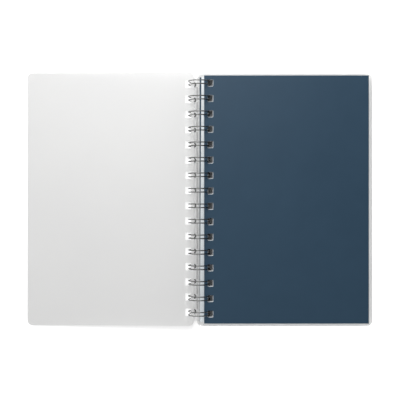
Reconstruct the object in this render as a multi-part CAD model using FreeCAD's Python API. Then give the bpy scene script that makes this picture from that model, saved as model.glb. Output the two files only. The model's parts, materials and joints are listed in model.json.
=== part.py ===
# Twin-loop wire-bound notebook, lying open on a table.
# Millimetres, +Z up. X runs across the open notebook, towards the page side.
# Y runs along the binding, towards the head of the pages.
# The origin is the middle of the footprint, on the table.

import FreeCAD
import Part
import math
import os

from FreeCAD import Vector

# Driving dimensions of the covers, two sheets of frosted plastic film
cover_height = 212.0
cover_thickness = 0.4
cover_corner_radius = 4.5
front_cover_width = 140.2
back_cover_width = 147.1
cover_hole_margin = 2.6
cover_hole_width = 4.7
cover_slip = 0.6

# Driving dimensions of the leaves: the white pages, and the dark card above and below them
leaf_width = 135.8
cover_overhang = 3.65
leaf_hole_margin = 3.0
leaf_hole_width = 4.5
page_stack_thickness = 10.0
card_thickness = 0.4
backing_slip = 0.2

# Driving dimensions of the holes that all sheets share
hole_height = 5.7
hole_row_shift = 0.8
least_end_margin = 2.0

# Driving dimensions of the wire
wire_diameter = 0.9
loop_outside_diameter = 18.4
loop_pitch = 12.7
leg_spacing = 2.9
root_bend_radius = 1.2
root_bend_angle = -92.0
wire_row_slip = 0.4

# Steps that the wire's curves are drawn in, to keep its many loops light
wire_sides = 6
leg_steps = 18
end_steps = 4
bend_steps = 2

# Clearances: wire to hole edge, leaf to leaf, closed cover to divider, loop end to root
wire_gap = 0.25
leaf_gap = 0.1
cover_gap = 0.2
seam_gap = 0.35

# The leaves end short of the covers, and take as many loops as their height has room for
leaf_height = cover_height - 2 * cover_overhang
row_room = leaf_height - hole_height - 2 * (hole_row_shift + least_end_margin)
loop_count = 1 + int(row_room / loop_pitch)

# The loops are circles about one axis, which every sheet turns on
wire_radius = wire_diameter / 2
loop_radius = loop_outside_diameter / 2 - wire_radius
inner_clear_radius = loop_radius - wire_radius - wire_gap
outer_clear_radius = loop_radius + wire_radius + wire_gap
axis_z = loop_outside_diameter / 2


def reach(radius, rise):
    """Distance out from the loop axis of a point on a circle, at a height above the axis."""
    return math.sqrt(radius ** 2 - rise ** 2)


# Heights of the sheets above the loop axis. The back cover's margin passes above the bottom
# of the loops, so it lies as low as the wire lets it, half its margin each side of the axis.
back_cover_bottom = -reach(inner_clear_radius, cover_hole_margin / 2 + wire_radius)
back_cover_top = back_cover_bottom + cover_thickness
backing_bottom = back_cover_top + leaf_gap
backing_top = backing_bottom + card_thickness
page_bottom = backing_top + leaf_gap
page_top = page_bottom + page_stack_thickness
divider_bottom = page_top + leaf_gap
divider_top = divider_bottom + card_thickness
closed_cover_bottom = divider_top + cover_gap
closed_cover_top = closed_cover_bottom + cover_thickness

# Distances out from the loop axis. Each sheet hangs on the wire by one edge of its holes:
# the front cover and the leaves by the inner edge, and the back cover by the outer edge.
# The backing sheet is loose on it by a small slip.
front_hole_start = reach(inner_clear_radius, closed_cover_top)
front_start = front_hole_start - cover_hole_margin
front_end = front_start + front_cover_width
back_hole_start = reach(outer_clear_radius, back_cover_top) - cover_hole_width
back_start = back_hole_start - cover_hole_margin
back_end = back_start + back_cover_width
leaf_hole_start = reach(inner_clear_radius, divider_top)
backing_hole_start = reach(inner_clear_radius, backing_bottom) + backing_slip

# The open front cover slopes down from the wire until its fore edge meets the table
front_slope = math.asin(axis_z / math.hypot(front_end, closed_cover_top))
front_slope = front_slope - math.atan2(closed_cover_top, front_end)
open_angle = 180.0 + math.degrees(front_slope)

# The loop axis stands so that the open notebook reaches equally far to both sides
front_reach = front_end * math.cos(front_slope) - closed_cover_bottom * math.sin(front_slope)
axis_x = (front_reach - back_end) / 2
axis_point = Vector(axis_x, 0, axis_z)

hole_rows = [
    hole_row_shift + (index - (loop_count - 1) / 2) * loop_pitch
    for index in range(loop_count)
]


def at(out, rise, along=0.0):
    """Point given by its distance out from the loop axis, height above it and place along it."""
    return Vector(axis_x + out, along, axis_z + rise)


def on_loop(radius, angle, along):
    """Point on a circle about the loop axis."""
    turn = math.radians(angle)
    return at(radius * math.cos(turn), radius * math.sin(turn), along)


def line(start, end):
    return Part.LineSegment(start, end).toShape()


def arc(start, middle, end):
    return Part.Arc(start, middle, end).toShape()


def solid_between(start, end, bottom, top, low, high):
    """Box from distances out from the loop axis, heights above it and places along it."""
    return Part.makeBox(end - start, high - low, top - bottom, at(start, bottom, low))


def cover(start, width, bottom, hole_start):
    """Flat film cover with round corners and one oblong hole for each loop."""
    half_height = cover_height / 2
    film = solid_between(
        start, start + width, bottom, bottom + cover_thickness, -half_height, half_height
    )
    corners = [edge for edge in film.Edges if abs(edge.tangentAt(edge.FirstParameter).z) > 0.5]
    film = film.makeFillet(cover_corner_radius, corners)
    holes = [
        solid_between(
            hole_start,
            hole_start + cover_hole_width,
            bottom - cover_thickness,
            bottom + 2 * cover_thickness,
            row - hole_height / 2,
            row + hole_height / 2,
        )
        for row in hole_rows
    ]
    return film.cut(holes)


def lean_line(shift, bottom, top):
    """Upright line that leans in with the loop below the knee, shifted out from the holes.

    The lower leaves slide in along the wire, so their edges follow a circle about the axis.
    """
    knee = -divider_top
    low_angle = math.degrees(math.asin(bottom / inner_clear_radius))
    knee_angle = math.degrees(math.asin(knee / inner_clear_radius))
    shifted = Vector(shift, 0, 0)
    low_point = on_loop(inner_clear_radius, low_angle, 0) + shifted
    bend_point = on_loop(inner_clear_radius, (low_angle + knee_angle) / 2, 0) + shifted
    knee_point = at(leaf_hole_start, knee) + shifted
    top_point = at(leaf_hole_start, top) + shifted
    return [arc(low_point, bend_point, knee_point), line(knee_point, top_point)]


def leaning_solid(near, far, bottom, top, low, high):
    """Solid between two leaning lines, from one place along the binding to another."""
    near_line = lean_line(near, bottom, top)
    far_line = lean_line(far, bottom, top)
    bottom_line = line(near_line[0].valueAt(near_line[0].FirstParameter),
                       far_line[0].valueAt(far_line[0].FirstParameter))
    top_line = line(near_line[1].valueAt(near_line[1].LastParameter),
                    far_line[1].valueAt(far_line[1].LastParameter))
    edges = near_line + [top_line] + far_line + [bottom_line]
    outline = Part.Wire(Part.__sortEdges__(edges))
    section = Part.Face(outline)
    section.translate(Vector(0, low, 0))
    return section.extrude(Vector(0, high - low, 0))


def page_block():
    """All white pages as one solid, with a curved channel for each loop."""
    block = leaning_solid(
        -leaf_hole_margin,
        leaf_width - leaf_hole_margin,
        page_bottom,
        page_top,
        -leaf_height / 2,
        leaf_height / 2,
    )
    channels = [
        leaning_solid(
            0.0,
            leaf_hole_width,
            page_bottom - leaf_gap,
            page_top + leaf_gap,
            row - hole_height / 2,
            row + hole_height / 2,
        )
        for row in hole_rows
    ]
    return block.cut(channels)


def card_sheet(hole_start, bottom):
    """Sheet of dark card with square corners, the size of a page."""
    start = hole_start - leaf_hole_margin
    top = bottom + card_thickness
    sheet = solid_between(
        start, start + leaf_width, bottom, top, -leaf_height / 2, leaf_height / 2
    )
    holes = [
        solid_between(
            hole_start,
            hole_start + leaf_hole_width,
            bottom - leaf_gap,
            top + leaf_gap,
            row - hole_height / 2,
            row + hole_height / 2,
        )
        for row in hole_rows
    ]
    return sheet.cut(holes)


def stepped_arc(centre, start_arm, end_arm, angle, steps):
    """Points on an arc that starts at the tip of one arm and turns towards the other."""
    turns = [math.radians(angle) * index / steps for index in range(steps + 1)]
    return [centre + start_arm * math.cos(turn) + end_arm * math.sin(turn) for turn in turns]


def wire_path():
    """Centre line of the wire: each loop has two legs and a round end, and roots join the loops."""
    end_radius = leg_spacing / 2
    seam_length = root_bend_radius + wire_diameter + seam_gap + end_radius
    leg_angle = 360.0 - math.degrees(seam_length / loop_radius)
    root_turn = math.radians(root_bend_angle)
    end_turn = math.radians(root_bend_angle + leg_angle)
    outward = Vector(math.cos(root_turn), 0, math.sin(root_turn))
    upward = Vector(-math.sin(root_turn), 0, math.cos(root_turn))
    onward = Vector(-math.sin(end_turn), 0, math.cos(end_turn))
    across = Vector(0, 1, 0)
    points = []
    for row in hole_rows:
        first = row + wire_row_slip - end_radius
        second = row + wire_row_slip + end_radius
        leg = stepped_arc(
            at(0, 0, first), outward * loop_radius, upward * loop_radius, leg_angle, leg_steps
        )
        end = stepped_arc(
            leg[-1] + across * end_radius, -across * end_radius, onward * end_radius, 180.0, end_steps
        )
        bend = stepped_arc(
            leg[0] - across * root_bend_radius,
            -upward * root_bend_radius,
            across * root_bend_radius,
            90.0,
            bend_steps,
        )
        half_loop = bend[:-1] + leg + end[1:end_steps // 2 + 1]
        middle = (first + second) / 2
        mirrored = [Vector(point.x, 2 * middle - point.y, point.z) for point in half_loop]
        points = points + half_loop + mirrored[-2::-1]
    return points[bend_steps:-bend_steps]


def wire_binding():
    """One continuous wire: its section is drawn along the stepped centre line, mitred at each step."""
    points = wire_path()
    direction = (points[1] - points[0]).normalize()
    side = Vector(0, 1, 0)
    rise = direction.cross(side)
    corners = stepped_arc(points[0], rise * wire_radius, side * wire_radius, 360.0, wire_sides)
    section = Part.makePolygon(corners)
    right_corner = 1
    return Part.makePolygon(points).makePipeShell([section], True, False, right_corner)


front_cover = cover(front_start, front_cover_width, closed_cover_bottom, front_hole_start)
front_cover.rotate(axis_point, Vector(0, 1, 0), -open_angle)
front_cover.translate(Vector(0, cover_slip / 2, 0))
back_cover = cover(back_start, back_cover_width, back_cover_bottom, back_hole_start)
back_cover.translate(Vector(0, -cover_slip / 2, 0))

parts = {
    "front_cover": front_cover,
    "back_cover": back_cover,
    "backing_sheet": card_sheet(backing_hole_start, backing_bottom),
    "page_block": page_block(),
    "divider_sheet": card_sheet(leaf_hole_start, divider_bottom),
    "wire_binding": wire_binding(),
}

os.makedirs("parts", exist_ok=True)
for name, shape in parts.items():
    shape.exportStep(os.path.join("parts", name + ".step"))
    box = shape.BoundBox
    print(name, len(shape.Solids), "solid, volume", round(shape.Volume, 2),
          "x", round(box.XMin, 3), round(box.XMax, 3),
          "y", round(box.YMin, 3), round(box.YMax, 3),
          "z", round(box.ZMin, 3), round(box.ZMax, 3))

print("loop axis at", round(axis_x, 4), round(axis_z, 4), "cover turn", round(open_angle, 3))
print("wire length", round(Part.makePolygon(wire_path()).Length, 1))
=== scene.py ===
# %% [markdown]
# # A wire-bound notebook, lying open
#
# The notebook has two covers of frosted film, a block of white leaves under a sheet of dark card,
# with a second dark sheet below them as painted shade, and one long wire bent into double loops
# that everything turns on. The solids come from the frame, in metres, with the table at height 0.
# This file makes the wire, the covers, the card and the leaves again as finer meshes in the same
# places, and gives each of them its finish.

import json
import math

import bpy
from mathutils import Matrix, Vector


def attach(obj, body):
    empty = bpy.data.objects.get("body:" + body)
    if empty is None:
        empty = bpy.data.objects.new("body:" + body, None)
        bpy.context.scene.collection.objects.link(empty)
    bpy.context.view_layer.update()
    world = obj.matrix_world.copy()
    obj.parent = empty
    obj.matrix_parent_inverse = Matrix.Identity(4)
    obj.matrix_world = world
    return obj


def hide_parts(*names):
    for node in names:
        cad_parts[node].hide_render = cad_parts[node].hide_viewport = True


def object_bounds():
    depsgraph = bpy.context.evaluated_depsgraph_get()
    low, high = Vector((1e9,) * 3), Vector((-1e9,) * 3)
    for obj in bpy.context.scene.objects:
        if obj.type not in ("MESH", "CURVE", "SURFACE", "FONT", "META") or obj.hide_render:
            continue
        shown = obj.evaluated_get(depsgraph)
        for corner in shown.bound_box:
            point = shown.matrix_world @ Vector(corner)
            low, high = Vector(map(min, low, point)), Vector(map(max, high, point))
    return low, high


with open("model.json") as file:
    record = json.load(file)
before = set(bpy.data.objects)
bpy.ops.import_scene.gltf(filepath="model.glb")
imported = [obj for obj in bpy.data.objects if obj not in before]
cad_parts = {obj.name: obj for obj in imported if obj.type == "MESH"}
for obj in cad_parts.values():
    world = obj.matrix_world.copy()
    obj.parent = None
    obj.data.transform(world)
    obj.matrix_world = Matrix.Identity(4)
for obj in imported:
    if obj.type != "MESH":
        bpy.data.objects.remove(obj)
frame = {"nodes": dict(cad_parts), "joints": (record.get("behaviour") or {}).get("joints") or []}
cad_box = [list(corner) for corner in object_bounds()]
print("solids", sorted(frame["nodes"]), "box", cad_box)

# %% [markdown]
# ## Sizes
#
# Most sizes are measured on the frame, so that the pieces land where the solids are. A few that a
# box can't tell, such as the pitch of the loops, are named here in millimetres. All hinges share
# one axis, the middle line of the wire loops, so its place comes from the first joint. The wire
# and the sheets are drawn a hair smaller than their solids, so that no rounding takes them out.

# %% Sizes shared by the pieces
MM = 0.001
loop_count = 16
loop_pitch = 12.7 * MM
wire_diameter = 0.9 * MM
hair = 0.005 * MM
leg_spacing = 2.9 * MM
hole_height = 5.7 * MM
hole_row_shift = 0.8 * MM
wire_row_slip = 0.4 * MM
cover_hole_margin = 2.6 * MM
cover_hole_width = 4.7 * MM
cover_corner_radius = 4.5 * MM
leaf_hole_margin = 3.0 * MM
leaf_hole_width = 4.5 * MM

first_joint = frame["joints"][0]
axis_place = Vector(first_joint["pos_m"])
open_angle = math.radians(first_joint["range_deg"][1])
loop_radius = axis_place.z - wire_diameter / 2
print("loop axis", axis_place, "loop radius", loop_radius)

# %% [markdown]
# ## Three helpers
#
# Both geometry and materials are built from nodes. Adding a node always means the same three
# things: make it, set its options and fill or link its inputs. One short function does that for
# every kind of node. Colours are written as the hex values seen on screen, which the renderer
# needs as linear light. Each material starts from one surface shader.

# %% A node with its settings and links
def add_node(tree, kind, inputs=None, **settings):
    """Adds a node. Each input takes a value, or an output socket to be linked to."""
    made = tree.nodes.new(kind)
    for name, value in settings.items():
        setattr(made, name, value)
    for key, value in (inputs or {}).items():
        if isinstance(value, bpy.types.NodeSocket):
            tree.links.new(value, made.inputs[key])
        else:
            made.inputs[key].default_value = value
    return made


# %% Colours and a new material
# On a Mix node set to colour, two inputs hold the colours, and one output the mixed colour.
COLOUR_A, COLOUR_B, MIXED = 6, 7, 2


def linear(hex_colour):
    """Linear colour, with full opacity, of a hex value such as 8090A0, by the sRGB curve."""
    parts = [int(hex_colour[start:start + 2], 16) / 255 for start in (0, 2, 4)]
    light = [part / 12.92 if part <= 0.04045 else ((part + 0.055) / 1.055) ** 2.4 for part in parts]
    return (*light, 1.0)


def start_material(name):
    """A new material with its one surface shader, ready for settings."""
    material = bpy.data.materials.new(name)
    material.use_nodes = True
    tree = material.node_tree
    tree.nodes.clear()
    surface = add_node(tree, "ShaderNodeBsdfPrincipled")
    add_node(tree, "ShaderNodeOutputMaterial", {"Surface": surface.outputs["BSDF"]})
    return material, tree, surface


print("mid grey 808080 in linear light", round(linear("808080")[0], 3))

# %% [markdown]
# ## Camera
#
# The notebook is seen from straight above. The loops show the distance: near the table they are
# 15.1 pixels apart and at their tops 15.5 pixels, which only fits a camera about 0.64 m up. The
# focal length then follows from the pitch in pixels. The notebook lies a trace off the middle.

# %% Camera
picture_width = 400
focal_pixels = 762.0
sensor_width = 36.0
camera_place = Vector((0.11 * MM, -0.42 * MM, 641.0 * MM))

camera_data = bpy.data.cameras.new("camera")
camera_data.sensor_width = sensor_width
camera_data.lens = sensor_width * focal_pixels / picture_width
camera = bpy.data.objects.new("camera", camera_data)
camera.location = camera_place
bpy.context.scene.collection.objects.link(camera)
bpy.context.scene.camera = camera
print("lens", round(camera_data.lens, 1), "mm")

# %% [markdown]
# ## Table
#
# The table is plain white. It is lit like the notebook and keeps its soft shadow. Only for the
# eye of the camera, and where it is mirrored or seen through the film, a little glow lifts the
# lit part to pure white. The glow is weaker in the narrow strip under the binding, which lies in
# shade. It is stronger beside that strip, where the table shines through the holes of the open
# cover, and past the pages, where it lights up the border of the back cover from below.

# %% Table
table_half = 1.5
table_drop = 0.02 * MM
table_level = cad_box[0][2] - table_drop

table_mesh = bpy.data.meshes.new("table")
table_corners = [
    (-table_half, -table_half, table_level),
    (table_half, -table_half, table_level),
    (table_half, table_half, table_level),
    (-table_half, table_half, table_level),
]
table_mesh.from_pydata(table_corners, [], [(0, 1, 2, 3)])
table = bpy.data.objects.new("table", table_mesh)
bpy.context.scene.collection.objects.link(table)
print("table", table_half * 2, "m wide, at height", table_level)

# %% Table material and its zones
shaded_half = 5.5 * MM
holes_half = 13 * MM
pages_end = 139.3 * MM
pages_half = 102.5 * MM

table_material, tree, surface = start_material("white_table")
surface.inputs["Base Color"].default_value = linear("F2F2F2")
surface.inputs["Roughness"].default_value = 0.9
surface.inputs["Specular IOR Level"].default_value = 0.0
spot = add_node(tree, "ShaderNodeSeparateXYZ", {
    0: add_node(tree, "ShaderNodeTexCoord").outputs["Object"]})
off_binding = add_node(tree, "ShaderNodeMath", {0: spot.outputs["X"]}, operation="ABSOLUTE")
off_middle = add_node(tree, "ShaderNodeMath", {0: spot.outputs["Y"]}, operation="ABSOLUTE")
past = {}
for zone, operation, distance, limit in (
    ("tail", "LESS_THAN", spot.outputs["Y"], -pages_half),
    ("fore edge", "GREATER_THAN", spot.outputs["X"], pages_end),
    ("binding", "GREATER_THAN", spot.outputs["X"], 0.0),
    ("holes", "GREATER_THAN", off_binding.outputs[0], holes_half),
    ("shade", "GREATER_THAN", off_binding.outputs[0], shaded_half),
    ("both ends", "GREATER_THAN", off_middle.outputs[0], pages_half),
):
    past[zone] = add_node(tree, "ShaderNodeMath", {
        0: distance, 1: limit}, operation=operation).outputs[0]
print("the table is told apart past its", ", ".join(past))

# %% Glow of each zone
open_strength = 0.30
border_strength = 1.35
hole_strength = 0.75
shaded_strength = 0.10

past_pages = add_node(tree, "ShaderNodeMath", {
    0: past["tail"], 1: past["fore edge"]}, operation="MAXIMUM")
border = add_node(tree, "ShaderNodeMath", {
    0: past_pages.outputs[0], 1: past["binding"]}, operation="MULTIPLY")
open_glow = add_node(tree, "ShaderNodeMapRange", {
    "Value": border.outputs[0], "To Min": open_strength, "To Max": border_strength})
hole_glow = add_node(tree, "ShaderNodeMapRange", {
    "Value": past["holes"], "To Min": hole_strength, "To Max": open_glow.outputs["Result"]})
spine_glow = add_node(tree, "ShaderNodeMapRange", {
    "Value": past["shade"], "To Min": shaded_strength, "To Max": hole_glow.outputs["Result"]})
glow_here = add_node(tree, "ShaderNodeMapRange", {
    "Value": past["both ends"],
    "To Min": spine_glow.outputs["Result"],
    "To Max": open_glow.outputs["Result"],
})
print("glow", open_strength, "in the open and", border_strength, "under the border")

# %% Who sees the glow
rays = add_node(tree, "ShaderNodeLightPath")
seen = add_node(tree, "ShaderNodeMath", {
    0: rays.outputs["Is Camera Ray"], 1: rays.outputs["Is Glossy Ray"]}, operation="MAXIMUM")
seen_through = add_node(tree, "ShaderNodeMath", {
    0: seen.outputs[0], 1: rays.outputs["Is Transmission Ray"]}, operation="MAXIMUM")
glow = add_node(tree, "ShaderNodeMath", {
    0: seen_through.outputs[0], 1: glow_here.outputs["Result"]}, operation="MULTIPLY")
surface.inputs["Emission Color"].default_value = (1.0, 1.0, 1.0, 1.0)
tree.links.new(glow.outputs[0], surface.inputs["Emission Strength"])
table_mesh.materials.append(table_material)
print(table_material.name, "has", len(tree.nodes), "nodes")

# %% [markdown]
# ## Light
#
# Most of the light is a pale sky all round, so shadows are hardly seen. A large soft box past the
# head of the notebook adds to it, more at the head than at the tail. A studio often has a dark
# screen on one side, which only shows in what shines. Here it stands on the side of the pages: it
# draws a dark line down that side of each wire, and keeps the sheen of the card to one end.

# %% Sky with its dark screen
sky_strength = 0.82
screen_strength = 0.03
screen_start = 0.05
screen_end = 0.35

world = bpy.data.worlds.new("pale_sky")
world.use_nodes = True
tree = world.node_tree
background = tree.nodes["Background"]
direction = add_node(tree, "ShaderNodeSeparateXYZ", {
    0: add_node(tree, "ShaderNodeTexCoord").outputs["Generated"]})
screen = add_node(tree, "ShaderNodeMapRange", {
    "Value": direction.outputs["X"], "From Min": screen_start, "From Max": screen_end})
mirrored = add_node(tree, "ShaderNodeMath", {
    0: screen.outputs["Result"],
    1: add_node(tree, "ShaderNodeLightPath").outputs["Is Glossy Ray"]}, operation="MULTIPLY")
strength = add_node(tree, "ShaderNodeMapRange", {
    "Value": mirrored.outputs[0], "To Min": sky_strength, "To Max": screen_strength})
background.inputs["Color"].default_value = (1.0, 1.0, 1.0, 1.0)
tree.links.new(strength.outputs["Result"], background.inputs["Strength"])
bpy.context.scene.world = world
print("sky", sky_strength, "and", screen_strength, "at the screen, in what shines")

# %% Soft box
box_power = 1.52
box_width = 0.34
box_place = Vector((-0.07, 0.33, 0.36))

box_data = bpy.data.lights.new("soft_box", "AREA")
box_data.shape = "SQUARE"
box_data.size = box_width
box_data.energy = box_power
soft_box = bpy.data.objects.new("soft_box", box_data)
soft_box.location = box_place
soft_box.rotation_euler = (-box_place).to_track_quat("-Z", "Y").to_euler()
bpy.context.scene.collection.objects.link(soft_box)
bpy.context.scene.view_settings.view_transform = "Standard"
print("soft box", round(box_place.length, 2), "m from the notebook")

# %% [markdown]
# ## Frosted polypropylene film
#
# The covers are polypropylene, about 0.4 mm thick, drawn through a roller that leaves one side
# finely frosted. It is milky: light passes into it and spreads, so it looks like pale grey paper
# with a soft sheen. The frost itself is finer than the picture can show, so its grain is drawn at
# 0.4 mm, and a very wide swell stands for the slight waviness of a loose sheet.

# %% Film material
frost_grain = 0.4 * MM
film_wave = 70 * MM

film, tree, surface = start_material("frosted_polypropylene")
place = add_node(tree, "ShaderNodeTexCoord").outputs["Object"]
frost = add_node(tree, "ShaderNodeTexNoise", {
    "Vector": place, "Scale": 1 / frost_grain, "Detail": 2.0})
swell = add_node(tree, "ShaderNodeTexNoise", {
    "Vector": place, "Scale": 1 / film_wave, "Detail": 1.0})
milk = add_node(tree, "ShaderNodeMix", {
    "Factor": swell.outputs["Fac"],
    COLOUR_A: linear("E9E9E9"),
    COLOUR_B: linear("EEEEED"),
}, data_type="RGBA")
sheen = add_node(tree, "ShaderNodeMapRange", {
    "Value": frost.outputs["Fac"], "To Min": 0.40, "To Max": 0.52})
wave = add_node(tree, "ShaderNodeBump", {
    "Height": swell.outputs["Fac"], "Strength": 0.25, "Distance": 2.0 * MM})
grain = add_node(tree, "ShaderNodeBump", {
    "Height": frost.outputs["Fac"],
    "Normal": wave.outputs["Normal"],
    "Strength": 0.15,
    "Distance": 0.05 * MM,
})
tree.links.new(milk.outputs[MIXED], surface.inputs["Base Color"])
tree.links.new(sheen.outputs["Result"], surface.inputs["Roughness"])
tree.links.new(grain.outputs["Normal"], surface.inputs["Normal"])
surface.inputs["IOR"].default_value = 1.49
surface.inputs["Transmission Weight"].default_value = 0.35
print(film.name, "has", len(tree.nodes), "nodes")

# %% [markdown]
# ## Uncoated white paper
#
# Writing paper is pressed fibre with a blue-white brightener in it, quite dull. Up close it has
# a faint cloudiness where fibres lie thicker, a few millimetres across, and a fine tooth, which
# is drawn at 0.25 mm because the real one is too fine to show. Its cut edges are coloured darker
# than its face as painted shade, and so are the narrow steps of the leaves at the spine, where one
# lies over the next.
# The walls of the punched holes are painted nearly black, a painted shade for the deep shade
# inside the holes under the wire.

# %% The face of the paper
fibre_cloud = 3 * MM
paper_tooth = 0.25 * MM

paper, tree, surface = start_material("uncoated_paper")
place = add_node(tree, "ShaderNodeTexCoord").outputs["Object"]
cloud = add_node(tree, "ShaderNodeTexNoise", {
    "Vector": place, "Scale": 1 / fibre_cloud, "Detail": 3.0})
tooth = add_node(tree, "ShaderNodeTexNoise", {
    "Vector": place, "Scale": 1 / paper_tooth, "Detail": 2.0})
tone = add_node(tree, "ShaderNodeMix", {
    "Factor": cloud.outputs["Fac"],
    COLOUR_A: linear("E9EEF2"),
    COLOUR_B: linear("F3F6F8"),
}, data_type="RGBA")
bump = add_node(tree, "ShaderNodeBump", {
    "Height": tooth.outputs["Fac"], "Strength": 0.2, "Distance": 0.03 * MM})
tree.links.new(bump.outputs["Normal"], surface.inputs["Normal"])
surface.inputs["Roughness"].default_value = 0.85
surface.inputs["Specular IOR Level"].default_value = 0.3
print("one patch of fibre is", fibre_cloud, "m across")

# %% Where the paper is cut
# The first three are measured out from the loop axis, and the last one along it.
# The painted shade on the steps of the leaves at the spine reaches this far from the loop axis.
spine_shade_end = axis_place.x + 4.1 * MM
holes_start = axis_place.x + 4.4 * MM
holes_end = axis_place.x + 12.2 * MM
row_half = 100.5 * MM
level_limit = 0.5

facing = add_node(tree, "ShaderNodeSeparateXYZ", {
    0: add_node(tree, "ShaderNodeNewGeometry").outputs["True Normal"]})
level = add_node(tree, "ShaderNodeMath", {0: facing.outputs["Z"]}, operation="ABSOLUTE")
spot = add_node(tree, "ShaderNodeSeparateXYZ", {0: place})
off_middle = add_node(tree, "ShaderNodeMath", {0: spot.outputs["Y"]}, operation="ABSOLUTE")
lies = {}
for zone, operation, measure, limit in (
    ("on an edge", "LESS_THAN", level.outputs[0], level_limit),
    ("at the spine", "LESS_THAN", spot.outputs["X"], spine_shade_end),
    ("past the margin", "GREATER_THAN", spot.outputs["X"], holes_start),
    ("before the end", "LESS_THAN", spot.outputs["X"], holes_end),
    ("in the row", "LESS_THAN", off_middle.outputs[0], row_half),
):
    lies[zone] = add_node(tree, "ShaderNodeMath", {
        0: measure, 1: limit}, operation=operation).outputs[0]
# The hole walls inside this strip get a near-black painted shade.
in_strip = add_node(tree, "ShaderNodeMath", {
    0: lies["past the margin"], 1: lies["before the end"]}, operation="MULTIPLY")
hole_shade_mask = add_node(tree, "ShaderNodeMath", {
    0: in_strip.outputs[0], 1: lies["in the row"]}, operation="MULTIPLY")
print("hole walls from x", round(holes_start, 4), "to", round(holes_end, 4))

# %% The paper's tones together
# Painted shade: cut edges get the darker colour B8C2C8, and hole walls the near black 0B141E.
painted_edge_shade = add_node(tree, "ShaderNodeMix", {
    "Factor": hole_shade_mask.outputs[0],
    COLOUR_A: linear("B8C2C8"),
    COLOUR_B: linear("0B141E"),
}, data_type="RGBA")
# Painted shade: the leaf steps at the spine get the darker face colour E6EAEC.
face_tone_with_spine_shade = add_node(tree, "ShaderNodeMix", {
    "Factor": lies["at the spine"],
    COLOUR_A: tone.outputs[MIXED],
    COLOUR_B: linear("E6EAEC"),
}, data_type="RGBA")
whole_tone = add_node(tree, "ShaderNodeMix", {
    "Factor": lies["on an edge"],
    COLOUR_A: face_tone_with_spine_shade.outputs[MIXED],
    COLOUR_B: painted_edge_shade.outputs[MIXED],
}, data_type="RGBA")
tree.links.new(whole_tone.outputs[MIXED], surface.inputs["Base Color"])
print(paper.name, "has", len(tree.nodes), "nodes")

# %% [markdown]
# ## Dyed card
#
# The dark sheets are smooth card dyed slate blue through its thickness and rolled flat, so they
# have a broad, weak sheen towards the light. Rolling leaves the card slightly mottled in tone
# and gloss. Its fibres are finer than the picture can show, so they are drawn at 0.5 mm.

# %% Card material
card_mottle = 22 * MM
card_fibre = 0.5 * MM

card, tree, surface = start_material("dyed_card")
place = add_node(tree, "ShaderNodeTexCoord").outputs["Object"]
mottle = add_node(tree, "ShaderNodeTexNoise", {
    "Vector": place, "Scale": 1 / card_mottle, "Detail": 4.0, "Roughness": 0.6})
fibre = add_node(tree, "ShaderNodeTexNoise", {
    "Vector": place, "Scale": 1 / card_fibre, "Detail": 2.0})
tone = add_node(tree, "ShaderNodeMix", {
    "Factor": mottle.outputs["Fac"],
    COLOUR_A: linear("0D3248"),
    COLOUR_B: linear("18394F"),
}, data_type="RGBA")
gloss = add_node(tree, "ShaderNodeMapRange", {
    "Value": mottle.outputs["Fac"], "To Min": 0.48, "To Max": 0.57})
bump = add_node(tree, "ShaderNodeBump", {
    "Height": fibre.outputs["Fac"], "Strength": 0.12, "Distance": 0.03 * MM})
tree.links.new(tone.outputs[MIXED], surface.inputs["Base Color"])
tree.links.new(gloss.outputs["Result"], surface.inputs["Roughness"])
tree.links.new(bump.outputs["Normal"], surface.inputs["Normal"])
surface.inputs["Specular IOR Level"].default_value = 0.45
print(card.name, "has", len(tree.nodes), "nodes")

# %% [markdown]
# ## Nickel-plated steel wire
#
# The wire is drawn steel with a bright nickel plating. Drawing leaves it not quite mirror-smooth,
# so it blurs what it reflects, a little unevenly along its length. The marks of drawing are finer
# than the picture can show, so their streaks are drawn at 1.2 mm.

# %% Wire material
draw_streak = 1.2 * MM

nickel, tree, surface = start_material("nickel_plated_steel")
place = add_node(tree, "ShaderNodeTexCoord").outputs["Object"]
streak = add_node(tree, "ShaderNodeTexNoise", {
    "Vector": place, "Scale": 1 / draw_streak, "Detail": 3.0})
dull = add_node(tree, "ShaderNodeMapRange", {
    "Value": streak.outputs["Fac"], "To Min": 0.18, "To Max": 0.34})
tone = add_node(tree, "ShaderNodeMix", {
    "Factor": streak.outputs["Fac"],
    COLOUR_A: linear("646565"),
    COLOUR_B: linear("7C7C7B"),
}, data_type="RGBA")
tree.links.new(tone.outputs[MIXED], surface.inputs["Base Color"])
tree.links.new(dull.outputs["Result"], surface.inputs["Roughness"])
surface.inputs["Metallic"].default_value = 1.0
print(nickel.name, "has", len(tree.nodes), "nodes")

# %% [markdown]
# ## Running a tree of geometry nodes
#
# What repeats on the notebook, the loops, the punched holes and the leaves, is made by geometry
# nodes. Each tree has named inputs for its sizes. A short helper starts a tree, and another runs
# it once and keeps the result as a plain mesh, so that nothing is left to work out later.

# %% Tree helpers
def start_tree(name, sizes):
    """A geometry tree with one geometry input, a number input for each size and a finish."""
    tree = bpy.data.node_groups.new(name, "GeometryNodeTree")
    tree.interface.new_socket("Geometry", in_out="INPUT", socket_type="NodeSocketGeometry")
    for size in sizes:
        tree.interface.new_socket(size, in_out="INPUT", socket_type="NodeSocketFloat")
    tree.interface.new_socket("Count", in_out="INPUT", socket_type="NodeSocketInt")
    tree.interface.new_socket("Finish", in_out="INPUT", socket_type="NodeSocketMaterial")
    tree.interface.new_socket("Geometry", in_out="OUTPUT", socket_type="NodeSocketGeometry")
    return tree, add_node(tree, "NodeGroupInput").outputs


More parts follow.
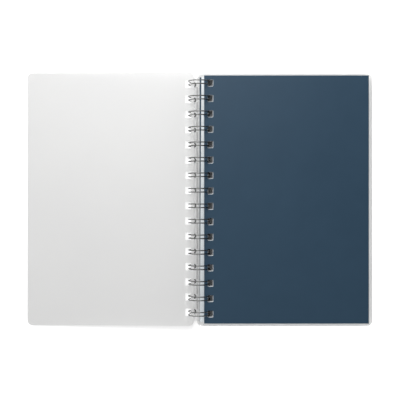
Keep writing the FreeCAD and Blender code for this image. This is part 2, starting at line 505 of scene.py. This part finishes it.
def run_tree(name, tree, start_mesh, values):
    """Runs a tree on a mesh and returns the finished piece, with no modifier left on it."""
    piece = bpy.data.objects.new(name, start_mesh)
    bpy.context.scene.collection.objects.link(piece)
    modifier = piece.modifiers.new("build", "NODES")
    modifier.node_group = tree
    for socket in tree.interface.items_tree:
        if socket.in_out == "INPUT" and socket.name in values:
            modifier[socket.identifier] = values[socket.name]
    graph = bpy.context.evaluated_depsgraph_get()
    finished = bpy.data.meshes.new_from_object(piece.evaluated_get(graph))
    piece.modifiers.remove(modifier)
    piece.data = finished
    print(name, len(finished.polygons), "faces")
    return piece


# %% [markdown]
# ## The wire
#
# One wire makes the whole binding. It runs along the back as a root, bends up into a leg, goes
# round almost a full circle, turns back in a small round end and comes down the second leg to the
# next root. Only one loop is drawn as a line, from the middle of one root to the middle of the
# next. The tree sets it out at the loop pitch, joins the lines where the roots meet, cuts the two
# outer half roots off and draws the round section along the whole line at once, so the wire is
# one unbroken piece as the real one is.

# %% Measures of one loop
root_bend_radius = 1.2 * MM
root_angle = math.radians(-92.0)
seam_gap = 0.35 * MM
end_radius = leg_spacing / 2
seam_length = root_bend_radius + wire_diameter + seam_gap + end_radius
leg_angle = 2 * math.pi - seam_length / loop_radius
leg_steps = 56
end_steps = 10
bend_steps = 5
print("each leg goes round", round(math.degrees(leg_angle), 1), "degrees")

# %% One loop of the centre line
def arc_points(centre, start_arm, end_arm, angle, steps):
    """Points on an arc from the tip of one arm towards the other."""
    turns = [angle * index / steps for index in range(steps + 1)]
    return [centre + start_arm * math.cos(turn) + end_arm * math.sin(turn) for turn in turns]


def loop_line():
    """Centre line of one loop, from the middle of its root to the middle of the next."""
    end_angle = root_angle + leg_angle
    outward = Vector((math.cos(root_angle), 0, math.sin(root_angle)))
    upward = Vector((-math.sin(root_angle), 0, math.cos(root_angle)))
    onward = Vector((-math.sin(end_angle), 0, math.cos(end_angle)))
    across = Vector((0, 1, 0))
    middle = axis_place - across * end_radius
    leg = arc_points(middle, outward * loop_radius, upward * loop_radius, leg_angle, leg_steps)
    bend = arc_points(
        leg[0] - across * root_bend_radius, -upward * root_bend_radius,
        across * root_bend_radius, math.pi / 2, bend_steps)
    end = arc_points(
        leg[-1] + across * end_radius, -across * end_radius,
        onward * end_radius, math.pi / 2, end_steps)
    root = Vector((bend[0].x, axis_place.y - loop_pitch / 2, bend[0].z))
    half = [root] + bend[:-1] + leg + end[1:]
    mirrored = [Vector((point.x, -point.y, point.z)) for point in half]
    return half + mirrored[-2::-1]


line_points = loop_line()
loop_mesh = bpy.data.meshes.new("loop_line")
loop_mesh.from_pydata(line_points, [(i, i + 1) for i in range(len(line_points) - 1)], [])
print("one loop has", len(line_points), "points")

# %% The whole centre line
join_reach = 0.02 * MM

tree, sizes = start_tree("wire_loops", ["Pitch", "First row", "Wire radius", "End cut"])
pitch_step = add_node(tree, "ShaderNodeCombineXYZ", {"Y": sizes["Pitch"]})
first_place = add_node(tree, "ShaderNodeCombineXYZ", {"Y": sizes["First row"]})
rows = add_node(tree, "GeometryNodeMeshLine", {
    "Count": sizes["Count"],
    "Start Location": first_place.outputs[0],
    "Offset": pitch_step.outputs[0],
})
copies = add_node(tree, "GeometryNodeInstanceOnPoints", {
    "Points": rows.outputs[0], "Instance": sizes["Geometry"]})
loose = add_node(tree, "GeometryNodeRealizeInstances", {0: copies.outputs[0]})
joined = add_node(tree, "GeometryNodeMergeByDistance", {
    0: loose.outputs[0], "Distance": join_reach})
whole = add_node(tree, "GeometryNodeMeshToCurve", {0: joined.outputs[0]})
length = add_node(tree, "GeometryNodeCurveLength", {0: whole.outputs[0]})
stop = add_node(tree, "ShaderNodeMath", {
    0: length.outputs[0], 1: sizes["End cut"]}, operation="SUBTRACT")
cut = add_node(tree, "GeometryNodeTrimCurve", {0: whole.outputs[0]}, mode="LENGTH")
start_socket = [socket for socket in cut.inputs if socket.name == "Start"][-1]
end_socket = [socket for socket in cut.inputs if socket.name == "End"][-1]
tree.links.new(sizes["End cut"], start_socket)
tree.links.new(stop.outputs[0], end_socket)
print(tree.name, "sets out", loop_count, "loops")

# %% Its round section
wire_sides = 12

section = add_node(tree, "GeometryNodeCurvePrimitiveCircle", {
    "Resolution": wire_sides, "Radius": sizes["Wire radius"]})
tube = add_node(tree, "GeometryNodeCurveToMesh", {
    "Curve": cut.outputs[0], "Profile Curve": section.outputs[0], "Fill Caps": True})
smooth = add_node(tree, "GeometryNodeSetShadeSmooth", {0: tube.outputs[0]})
plain = add_node(tree, "GeometryNodeRealizeInstances", {0: smooth.outputs[0]})
dressed = add_node(tree, "GeometryNodeSetMaterial", {
    0: plain.outputs[0], "Material": sizes["Finish"]})
add_node(tree, "NodeGroupOutput", {0: dressed.outputs[0]})
print(tree.name, "has", len(tree.nodes), "nodes")

# %% The binding
row_span = (loop_count - 1) * loop_pitch
half_root = loop_pitch / 2 - end_radius - root_bend_radius
binding = run_tree("wire_loops", tree, loop_mesh, {
    "Pitch": loop_pitch,
    "First row": hole_row_shift + wire_row_slip - row_span / 2,
    "Wire radius": wire_diameter / 2 - hair,
    "End cut": half_root + root_bend_radius * math.pi / 2,
    "Count": loop_count,
    "Finish": nickel,
})
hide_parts("wire_binding")
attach(binding, "binding")

# %% [markdown]
# ## Punched sheets
#
# Covers, card and leaves are all the same kind of thing: a flat sheet with a row of oblong
# holes. The tree draws the outline and one hole as lines, sets the holes out at the loop pitch,
# fills the outline around them and gives it thickness. The fill leaves clean, flat faces, which a
# boolean cut often doesn't.

# %% The outline of a sheet
corner_steps = 10

tree, sizes = start_tree("punched_sheet", [
    "Left", "Width", "Height", "Corner radius", "Thickness", "Level",
    "Hole left", "Hole width", "Hole height", "Hole corner", "First row", "Pitch"])
half_width = add_node(tree, "ShaderNodeMath", {0: sizes["Width"], 1: 2.0}, operation="DIVIDE")
middle_x = add_node(tree, "ShaderNodeMath", {
    0: sizes["Left"], 1: half_width.outputs[0]}, operation="ADD")
middle = add_node(tree, "ShaderNodeCombineXYZ", {
    "X": middle_x.outputs[0], "Z": sizes["Level"]})
edge = add_node(tree, "GeometryNodeCurvePrimitiveQuadrilateral", {
    "Width": sizes["Width"], "Height": sizes["Height"]})
edge_round = add_node(tree, "GeometryNodeFilletCurve", {
    "Curve": edge.outputs[0], "Count": corner_steps, "Radius": sizes["Corner radius"],
}, mode="POLY")
outline = add_node(tree, "GeometryNodeTransform", {
    0: edge_round.outputs[0], "Translation": middle.outputs[0]})
print("each round corner takes", corner_steps, "steps")

# %% Its row of holes
hole_corner_steps = 3

half_hole = add_node(tree, "ShaderNodeMath", {
    0: sizes["Hole width"], 1: 2.0}, operation="DIVIDE")
hole_x = add_node(tree, "ShaderNodeMath", {
    0: sizes["Hole left"], 1: half_hole.outputs[0]}, operation="ADD")
first_hole = add_node(tree, "ShaderNodeCombineXYZ", {
    "X": hole_x.outputs[0], "Y": sizes["First row"], "Z": sizes["Level"]})
hole = add_node(tree, "GeometryNodeCurvePrimitiveQuadrilateral", {
    "Width": sizes["Hole width"], "Height": sizes["Hole height"]})
hole_round = add_node(tree, "GeometryNodeFilletCurve", {
    "Curve": hole.outputs[0], "Count": hole_corner_steps, "Radius": sizes["Hole corner"],
}, mode="POLY")
hole_step = add_node(tree, "ShaderNodeCombineXYZ", {"Y": sizes["Pitch"]})
places = add_node(tree, "GeometryNodeMeshLine", {
    "Count": sizes["Count"],
    "Start Location": first_hole.outputs[0],
    "Offset": hole_step.outputs[0],
})
hole_copies = add_node(tree, "GeometryNodeInstanceOnPoints", {
    "Points": places.outputs[0], "Instance": hole_round.outputs[0]})
holes = add_node(tree, "GeometryNodeRealizeInstances", {0: hole_copies.outputs[0]})
print("each corner of a hole takes", hole_corner_steps, "steps")

# %% Its thickness
# The fill lies at height 0, so it is lifted to the level of the sheet before it gets thick.
seam_reach = 0.002 * MM

lines = add_node(tree, "GeometryNodeJoinGeometry")
tree.links.new(outline.outputs[0], lines.inputs[0])
tree.links.new(holes.outputs[0], lines.inputs[0])
face = add_node(tree, "GeometryNodeFillCurve", {0: lines.outputs[0]}, mode="TRIANGLES")
lift = add_node(tree, "ShaderNodeCombineXYZ", {"Z": sizes["Level"]})
raised = add_node(tree, "GeometryNodeTransform", {
    0: face.outputs[0], "Translation": lift.outputs[0]})
thick = add_node(tree, "GeometryNodeExtrudeMesh", {
    "Mesh": raised.outputs[0], "Offset Scale": sizes["Thickness"], "Individual": False})
under = add_node(tree, "GeometryNodeFlipFaces", {0: raised.outputs[0]})
shell = add_node(tree, "GeometryNodeJoinGeometry")
tree.links.new(thick.outputs[0], shell.inputs[0])
tree.links.new(under.outputs[0], shell.inputs[0])
closed = add_node(tree, "GeometryNodeMergeByDistance", {
    0: shell.outputs[0], "Distance": seam_reach})
plain = add_node(tree, "GeometryNodeRealizeInstances", {0: closed.outputs[0]})
dressed = add_node(tree, "GeometryNodeSetMaterial", {
    0: plain.outputs[0], "Material": sizes["Finish"]})
add_node(tree, "NodeGroupOutput", {0: dressed.outputs[0]})
sheet_tree = tree
print(sheet_tree.name, "has", len(sheet_tree.nodes), "nodes")

# %% A sheet from its sizes
hole_corner = 0.5 * MM


def punched_sheet(name, low, high, corner, hole_start, hole_width, finish, hole_trim=0.0):
    """A flat sheet as large as a box, with its row of holes starting at hole_start.

    A trim takes that much off the foot of every hole.
    """
    return run_tree(name, sheet_tree, bpy.data.meshes.new(name + "_start"), {
        "Left": low.x,
        "Width": high.x - low.x,
        "Height": high.y - low.y,
        "Corner radius": corner,
        "Thickness": high.z - low.z,
        "Level": low.z,
        "Hole left": hole_start,
        "Hole width": hole_width,
        "Hole height": hole_height - hole_trim,
        "Hole corner": hole_corner,
        "First row": hole_row_shift - row_span / 2 + hole_trim / 2,
        "Pitch": loop_pitch,
        "Count": loop_count,
        "Finish": finish,
    })


# %% [markdown]
# ## Covers
#
# Each cover is cut from film with one die, which rounds its corners and punches its holes in the
# same stroke. The front cover was turned over about the axis of the loops to open the notebook.
# So it is drawn as it lies when closed, between the same limits as its solid, and turned open.

# %% A sheet in the place of a solid
def limits(points):
    """Lowest and highest corner of the box around some points."""
    low = Vector([min(point[axis] for point in points) for axis in range(3)])
    high = Vector([max(point[axis] for point in points) for axis in range(3)])
    return low, high


def sheet_like(solid_name, turn, corner, hole_margin, hole_width, finish):
    """A sheet in the place of a solid that is flat once it is turned back."""
    solid = frame["nodes"][solid_name]
    low, high = limits([turn @ vertex.co for vertex in solid.data.vertices])
    inset = Vector((hair, hair, hair))
    low, high = low + inset, high - inset
    sheet = punched_sheet(
        solid_name + "_sheet", low, high, corner, low.x + hole_margin, hole_width, finish)
    sheet.data.transform(Matrix.Translation((0, (low.y + high.y) / 2, 0)))
    sheet.data.transform(turn.inverted())
    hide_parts(solid_name)
    return sheet


# %% Both covers
flat = Matrix.Identity(4)
to_axis = Matrix.Translation(axis_place)
closing = to_axis @ Matrix.Rotation(open_angle, 4, "Y") @ to_axis.inverted()

front_cover = sheet_like(
    "front_cover", closing, cover_corner_radius, cover_hole_margin, cover_hole_width, film)
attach(front_cover, "front")

back_cover = sheet_like(
    "back_cover", flat, cover_corner_radius, cover_hole_margin, cover_hole_width, film)
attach(back_cover, "binding")

# %% [markdown]
# ## Card sheets
#
# A sheet of dark card lies above the pages, guillotined to the size of the pages, so its corners
# are square. A second sheet of the same card lies below the pages as painted shade: only its spine
# edge shows, as a thin dark line that stands for the shade at the foot of the white page edges.

# %% The card sheet, and the dark sheet below the pages as painted shade
guillotined = 0.15 * MM

divider = sheet_like(
    "divider_sheet", flat, guillotined, leaf_hole_margin, leaf_hole_width, card)
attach(divider, "divider")

# Painted shade: this dark sheet's spine edge draws the shade line at the foot of the page edges.
shade_line_sheet = sheet_like(
    "backing_sheet", flat, guillotined, leaf_hole_margin, leaf_hole_width, card)
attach(shade_line_sheet, "binding")

# %% [markdown]
# ## Pages
#
# The pages are real leaves here, fifty of them, each standing for a pair. Their holes hang on the
# wire, so a leaf lies further in the lower it is on the round of the loops. Leaves never lie quite
# flush: each is off by up to a tenth of a millimetre, and at the spine the lower ones lie a
# little askew, so that the stack's foot runs out towards the tail. Their holes are a trace
# smaller than those of the card, so a pale rim of paper shows inside each hole of the card.

# %% Where each leaf hangs on the wire
tree, sizes = start_tree("leaf_stack", [
    "Lowest", "Leaf pitch", "Axis x", "Axis height", "Clear radius", "Knee",
    "Ragged", "Skew", "Spine limit", "Half height"])
lowest = add_node(tree, "ShaderNodeCombineXYZ", {"Z": sizes["Lowest"]})
leaf_step = add_node(tree, "ShaderNodeCombineXYZ", {"Z": sizes["Leaf pitch"]})
levels = add_node(tree, "GeometryNodeMeshLine", {
    "Count": sizes["Count"],
    "Start Location": lowest.outputs[0],
    "Offset": leaf_step.outputs[0],
})
spot = add_node(tree, "ShaderNodeSeparateXYZ", {
    0: add_node(tree, "GeometryNodeInputPosition").outputs[0]})
drop = add_node(tree, "ShaderNodeMath", {
    0: sizes["Axis height"], 1: spot.outputs["Z"]}, operation="SUBTRACT")
below_knee = add_node(tree, "ShaderNodeMath", {
    0: drop.outputs[0], 1: sizes["Knee"]}, operation="MAXIMUM")
radius_square = add_node(tree, "ShaderNodeMath", {
    0: sizes["Clear radius"], 1: sizes["Clear radius"]}, operation="MULTIPLY")
drop_square = add_node(tree, "ShaderNodeMath", {
    0: below_knee.outputs[0], 1: below_knee.outputs[0]}, operation="MULTIPLY")
reach_square = add_node(tree, "ShaderNodeMath", {
    0: radius_square.outputs[0], 1: drop_square.outputs[0]}, operation="SUBTRACT")
reach = add_node(tree, "ShaderNodeMath", {0: reach_square.outputs[0]}, operation="SQRT")
hang = add_node(tree, "ShaderNodeMath", {
    0: sizes["Axis x"], 1: reach.outputs[0]}, operation="ADD")
print(tree.name, "hangs its leaves on the loops")

# %% Each leaf a little out of line
ragged_seed = 4

opposite = add_node(tree, "ShaderNodeMath", {
    0: sizes["Ragged"], 1: -1.0}, operation="MULTIPLY")
low_ragged = add_node(tree, "ShaderNodeCombineXYZ", {"Y": opposite.outputs[0]})
high_ragged = add_node(tree, "ShaderNodeCombineXYZ", {
    "X": sizes["Ragged"], "Y": sizes["Ragged"]})
ragged = add_node(tree, "FunctionNodeRandomValue", {
    0: low_ragged.outputs[0],
    1: high_ragged.outputs[0],
    "Seed": ragged_seed,
}, data_type="FLOAT_VECTOR")
hung = add_node(tree, "ShaderNodeCombineXYZ", {"X": hang.outputs[0]})
offset = add_node(tree, "ShaderNodeVectorMath", {
    0: hung.outputs[0], 1: ragged.outputs[0]}, operation="ADD")
shifted = add_node(tree, "GeometryNodeSetPosition", {
    "Geometry": levels.outputs[0], "Offset": offset.outputs[0]})
copies = add_node(tree, "GeometryNodeInstanceOnPoints", {
    "Points": shifted.outputs[0], "Instance": sizes["Geometry"]})
loose = add_node(tree, "GeometryNodeRealizeInstances", {0: copies.outputs[0]})
print("the leaves are set off with seed", ragged_seed)

# %% The lower leaves askew at the spine
depth = add_node(tree, "ShaderNodeMath", {
    0: below_knee.outputs[0], 1: sizes["Knee"]}, operation="SUBTRACT")
lowest_drop = add_node(tree, "ShaderNodeMath", {
    0: sizes["Axis height"], 1: sizes["Lowest"]}, operation="SUBTRACT")
deepest = add_node(tree, "ShaderNodeMath", {
    0: lowest_drop.outputs[0], 1: sizes["Knee"]}, operation="SUBTRACT")
depth_share = add_node(tree, "ShaderNodeMath", {
    0: depth.outputs[0], 1: deepest.outputs[0]}, operation="DIVIDE")
along = add_node(tree, "ShaderNodeMath", {
    0: spot.outputs["Y"], 1: sizes["Half height"]}, operation="DIVIDE")
askew = add_node(tree, "ShaderNodeMath", {
    0: along.outputs[0], 1: depth_share.outputs[0]}, operation="MULTIPLY")
slip = add_node(tree, "ShaderNodeMath", {
    0: askew.outputs[0], 1: sizes["Skew"]}, operation="MULTIPLY")
skewed = add_node(tree, "ShaderNodeCombineXYZ", {"X": slip.outputs[0]})
off_hang = add_node(tree, "ShaderNodeMath", {
    0: spot.outputs["X"], 1: hang.outputs[0]}, operation="SUBTRACT")
at_spine = add_node(tree, "FunctionNodeCompare", {
    "A": off_hang.outputs[0], "B": sizes["Spine limit"]}, operation="LESS_THAN")
stack = add_node(tree, "GeometryNodeSetPosition", {
    "Geometry": loose.outputs[0],
    "Selection": at_spine.outputs[0],
    "Offset": skewed.outputs[0],
})
plain = add_node(tree, "GeometryNodeRealizeInstances", {0: stack.outputs[0]})
dressed = add_node(tree, "GeometryNodeSetMaterial", {
    0: plain.outputs[0], "Material": sizes["Finish"]})
add_node(tree, "NodeGroupOutput", {0: dressed.outputs[0]})
print(tree.name, "has", len(tree.nodes), "nodes")

# %% One leaf
leaf_count = 50
leaf_share = 0.85
page_hole_side = 0.28 * MM
page_hole_foot = 0.28 * MM

block_low, block_high = limits([
    vertex.co for vertex in frame["nodes"]["page_block"].data.vertices])
divider_low, divider_high = limits([
    vertex.co for vertex in frame["nodes"]["divider_sheet"].data.vertices])
leaf_pitch = (block_high.z - block_low.z) / leaf_count
leaf_size = divider_high - divider_low
one_leaf = punched_sheet(
    "leaf",
    Vector((-leaf_hole_margin, -leaf_size.y / 2, 0)),
    Vector((leaf_size.x - leaf_hole_margin, leaf_size.y / 2, leaf_pitch * leaf_share)),
    guillotined, 0.0, leaf_hole_width - page_hole_side, paper, page_hole_foot)

# %% The stack of leaves
raggedness = 0.1 * MM
spine_skew = 0.7 * MM
spine_share = 0.8
wire_gap = 0.25 * MM

pages = run_tree("page_leaves", tree, one_leaf.data, {
    "Lowest": block_low.z,
    "Leaf pitch": leaf_pitch,
    "Axis x": axis_place.x,
    "Axis height": axis_place.z,
    "Clear radius": loop_radius - wire_diameter / 2 - wire_gap,
    "Knee": divider_high.z - axis_place.z,
    "Ragged": raggedness,
    "Skew": spine_skew,
    "Spine limit": -leaf_hole_margin * spine_share,
    "Half height": leaf_size.y / 2,
    "Count": leaf_count,
    "Finish": paper,
})
bpy.data.objects.remove(one_leaf)
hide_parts("page_block")
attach(pages, "pages")
